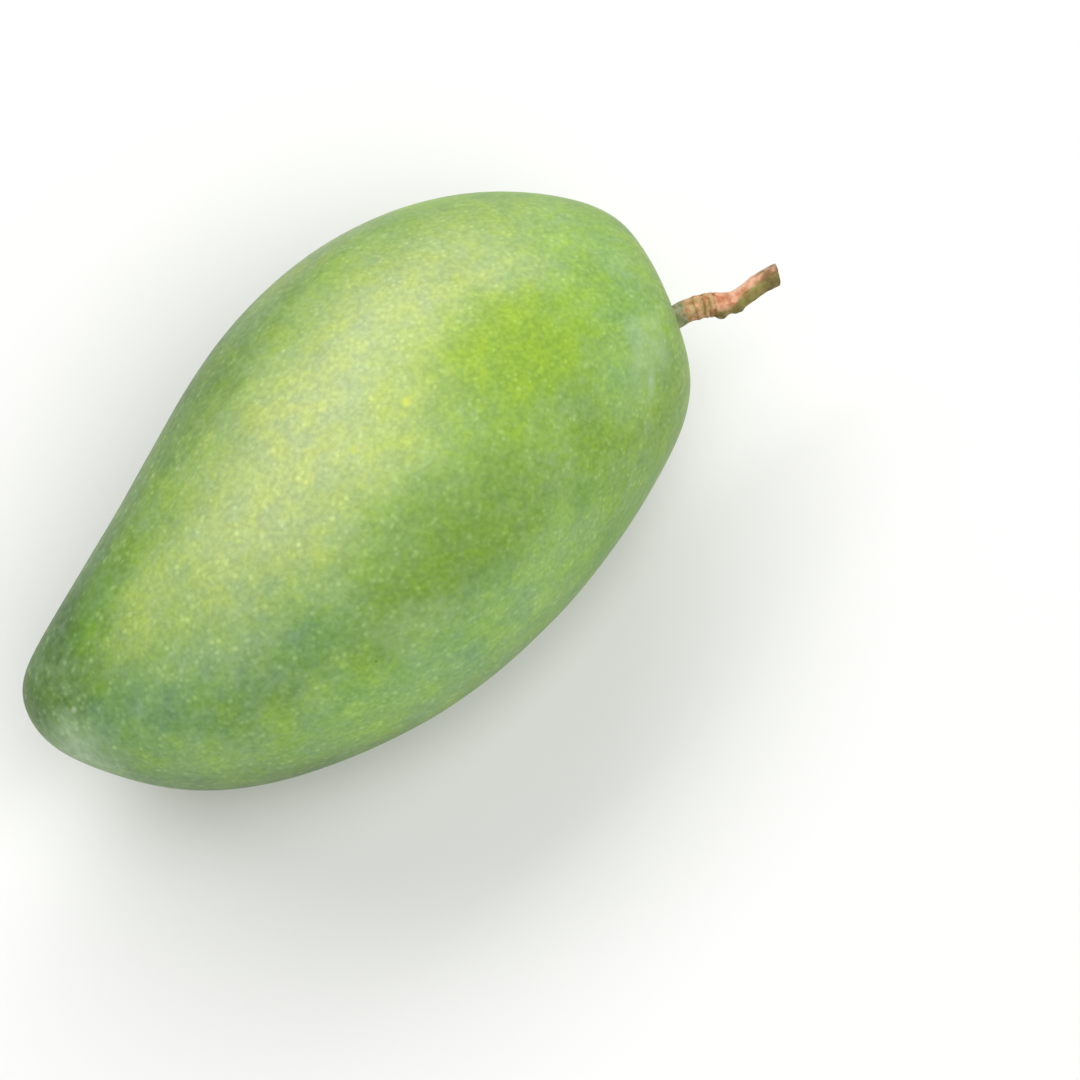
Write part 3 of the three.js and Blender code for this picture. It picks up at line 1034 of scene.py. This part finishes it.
class MangoSkinSettings(bpy.types.PropertyGroup):
    """Colours and fineness of the fruit."""

    fruit_rings: IntProperty(name="Rings", description="Rings of points along the fruit",
                             default=200, min=40)
    fruit_sides: IntProperty(name="Sides", description="Points round the fruit", default=208, min=24)
    green: colour_setting("Green", "Main colour of the skin", "#92b352")
    deep_green: colour_setting("Deep green", "Deeper patch on the upper side", "#7ca040")
    yellow_green: colour_setting("Yellow green", "Patch rubbed free of bloom", "#9cbc44")
    # Partly paler skin, partly a painted sheen along the top.
    pale_crest_and_sheen: colour_setting("Crest", "Paler skin along the top", "#c4cf93")
    warm_crest: colour_setting("Warm crest", "Yellower skin on the middle of the top", "#bfcf6e")
    blue_green: colour_setting("Blue green", "Band and tip towards the beak", "#7da56f")
    pale_flank: colour_setting("Pale flank", "Lighter skin low on the dorsal side", "#9bc377")
    shoulder: colour_setting("Shoulder", "Lighter skin towards the stem", "#a4c878")
    # Partly deeper green, partly painted shade on the ventral side and the beak.
    dark_and_shaded_flank: colour_setting("Dark flank", "Darker skin on the ventral side", "#527637")
    # Painted shade along the low edge towards the beak.
    painted_edge_shade: colour_setting("Shaded edge", "Deepest green, low on the side of the beak", "#3f6230")
    # Partly leafy green, partly a painted green reflection along the lower edge.
    leafy_and_reflection: colour_setting("Leafy green", "Small stretch of the lower edge near the stem", "#77aa2e")
    # Painted grey sheen high on the ventral side.
    painted_grey_sheen: colour_setting("Dull green", "Greyer skin high on the ventral side", "#95aa72")
    # Painted shade, darker towards the bottom.
    underside_shade: colour_setting("Underside", "Deeper green of the side it lies on", "#769b49")
    cool_tint: colour_setting("Cool tint", "Multiplied into the cooler clouds", "#e3ebf2")
    warm_tint: colour_setting("Warm tint", "Multiplied into the warmer clouds", "#fdfed0")
    grain_tint: colour_setting("Grain tint", "Multiplied into the darker grains", "#e8ebe2")
    bloom: colour_setting("Bloom", "Colour of the wax bloom", "#b0caa2")
    bloom_amount: share_setting("Bloom amount", "Thickness of the bloom", 0.24)
    dot: colour_setting("Dots", "Added to the skin at the breathing dots", "#8a9666")
    dot_amount: share_setting("Dot amount", "How clearly the dots show", 0.6)
    dot_spacing: FloatProperty(name="Dot spacing", description="Mean distance between the fine dots",
                               default=1.2 * MM, min=0.5 * MM, unit="LENGTH")
    dot_radius: FloatProperty(name="Dot radius", description="Radius of the fine dots",
                              default=0.54 * MM, min=0.1 * MM, unit="LENGTH")
    speck: colour_setting("Specks", "Colour of the few dark specks", "#5a6636")
    ripe_spot: colour_setting("Ripe spots", "Colour of the few yellow spots", "#d6dc4e")
    streak: colour_setting("Streaks", "Streaks that run out of the hollow", "#b9cf9c")
    # Painted shade in the hollow round the stem.
    hollow: colour_setting("Hollow", "Skin in the hollow round the stem", "#6d8a46")
    cork: colour_setting("Cork", "Corky ring at the foot of the stem", "#9c8c60")
    scar: colour_setting("Style scar", "Small scar near the beak", "#c6d0b0")
    roughness: share_setting("Roughness", "Roughness of the bare skin", 0.4)


class MangoBarkSettings(bpy.types.PropertyGroup):
    """Colours and fineness of the stem."""

    stem_rings: IntProperty(name="Rings", description="Rings of points along the stem", default=260, min=40)
    stem_sides: IntProperty(name="Sides", description="Points round the stem", default=72, min=12)
    foot: colour_setting("Foot", "Grey-green bark at the foot", "#6c7a50")
    foot_light: colour_setting("Pale foot", "Lighter patches at the foot", "#a2a684")
    tan: colour_setting("Tan", "Bark of the first part", "#d2a880")
    brown: colour_setting("Brown", "Darker patches of the first part", "#a06a3c")
    green_tan: colour_setting("Green tan", "Greener patches of the first part", "#a39a62")
    pink: colour_setting("Pink", "Young bark of the second part", "#dda88a")
    orange: colour_setting("Orange", "Warmer patches of the second part", "#b87450")
    # Partly the bark's own pink, partly painted light on the lit side.
    lit_pale_pink: colour_setting("Pale pink", "Upper side of the second part", "#f0ccae")
    olive: colour_setting("Olive", "Shaded side of the second part", "#8b8648")
    olive_dark: colour_setting("Dark olive", "Twig scars", "#5c5a30")
    streak: colour_setting("Streaks", "Fibres along the bark", "#c08a62")
    speck: colour_setting("Specks", "Dark specks", "#4e3319")
    ring: colour_setting("Rings", "Lines of the ring scars", "#72502e")
    tip: colour_setting("Tip", "Dry bark at the cut end", "#6b5a36")
    cream: colour_setting("Cream", "Pale ring of the cut face", "#cdb68c")
    wood: colour_setting("Wood", "Wood of the cut face", "#ad8c60")
    pith: colour_setting("Pith", "Dark pith", "#7e5e42")


class MangoStageSettings(bpy.types.PropertyGroup):
    """Floor, room light and view."""

    floor_colour: colour_setting("Floor", "Colour of the floor", "#e8e8e6")
    room_light: FloatProperty(name="Room light", description="Even light from all sides", default=0.2, min=0)
    azimuth: FloatProperty(name="Azimuth", description="Turn of the view about the upright",
                           default=math.radians(-42.5), subtype="ANGLE")
    elevation: FloatProperty(name="Elevation", description="Height of the view above the floor's plane",
                             default=math.radians(75), subtype="ANGLE")
    distance: FloatProperty(name="Distance", description="From the point looked at to the camera",
                            default=478 * MM, min=0.1, unit="LENGTH")
    look_at: FloatVectorProperty(name="Look at", description="Middle of the view", size=3,
                                 default=(10.936 * MM, -23.845 * MM, 29.336 * MM), subtype="TRANSLATION")
    lens: FloatProperty(name="Lens", description="Focal length in millimetres", default=100, min=10)


class MANGO_OT_add_fruit(bpy.types.Operator):
    """Add the fruit in place of the solid one"""

    bl_idname = "mango.add_fruit"
    bl_label = "Add Fruit"

    def execute(self, context):
        make_fruit(context.scene.mango_skin, green_skin(context.scene.mango_skin))
        return {"FINISHED"}


class MANGO_OT_add_stem(bpy.types.Operator):
    """Add the stem in place of the solid one"""

    bl_idname = "mango.add_stem"
    bl_label = "Add Stem"

    def execute(self, context):
        make_stem(context.scene.mango_bark, stem_bark(context.scene.mango_bark))
        return {"FINISHED"}


class MANGO_OT_add_stage(bpy.types.Operator):
    """Add the floor, the lamps and the camera"""

    bl_idname = "mango.add_stage"
    bl_label = "Add Stage"

    def execute(self, context):
        stage = context.scene.mango_stage
        make_floor(stage)
        make_world(stage)
        for lamp in LAMPS:
            make_lamp(*lamp)
        make_camera(stage)
        context.scene.view_settings.view_transform = "Standard"
        return {"FINISHED"}


class MANGO_PT_panel(bpy.types.Panel):
    """The mango's pieces and their settings"""

    bl_label = "Green Mango"
    bl_idname = "MANGO_PT_panel"
    bl_space_type = "VIEW_3D"
    bl_region_type = "UI"
    bl_category = "Mango"

    def draw(self, context):
        sections = (
            (MANGO_OT_add_fruit, context.scene.mango_skin),
            (MANGO_OT_add_stem, context.scene.mango_bark),
            (MANGO_OT_add_stage, context.scene.mango_stage),
        )
        for operator, settings in sections:
            box = self.layout.box()
            box.operator(operator.bl_idname)
            for name in settings.__annotations__:
                box.prop(settings, name)


CLASSES = (
    MangoSkinSettings, MangoBarkSettings, MangoStageSettings,
    MANGO_OT_add_fruit, MANGO_OT_add_stem, MANGO_OT_add_stage, MANGO_PT_panel,
)


def register():
    for each in CLASSES:
        bpy.utils.register_class(each)
    bpy.types.Scene.mango_skin = PointerProperty(type=MangoSkinSettings)
    bpy.types.Scene.mango_bark = PointerProperty(type=MangoBarkSettings)
    bpy.types.Scene.mango_stage = PointerProperty(type=MangoStageSettings)


def unregister():
    del bpy.types.Scene.mango_stage
    del bpy.types.Scene.mango_bark
    del bpy.types.Scene.mango_skin
    for each in reversed(CLASSES):
        bpy.utils.unregister_class(each)


def main():
    register()
    bpy.ops.mango.add_fruit()
    bpy.ops.mango.add_stem()
    bpy.ops.mango.add_stage()


if __name__ == "__main__":
    main()
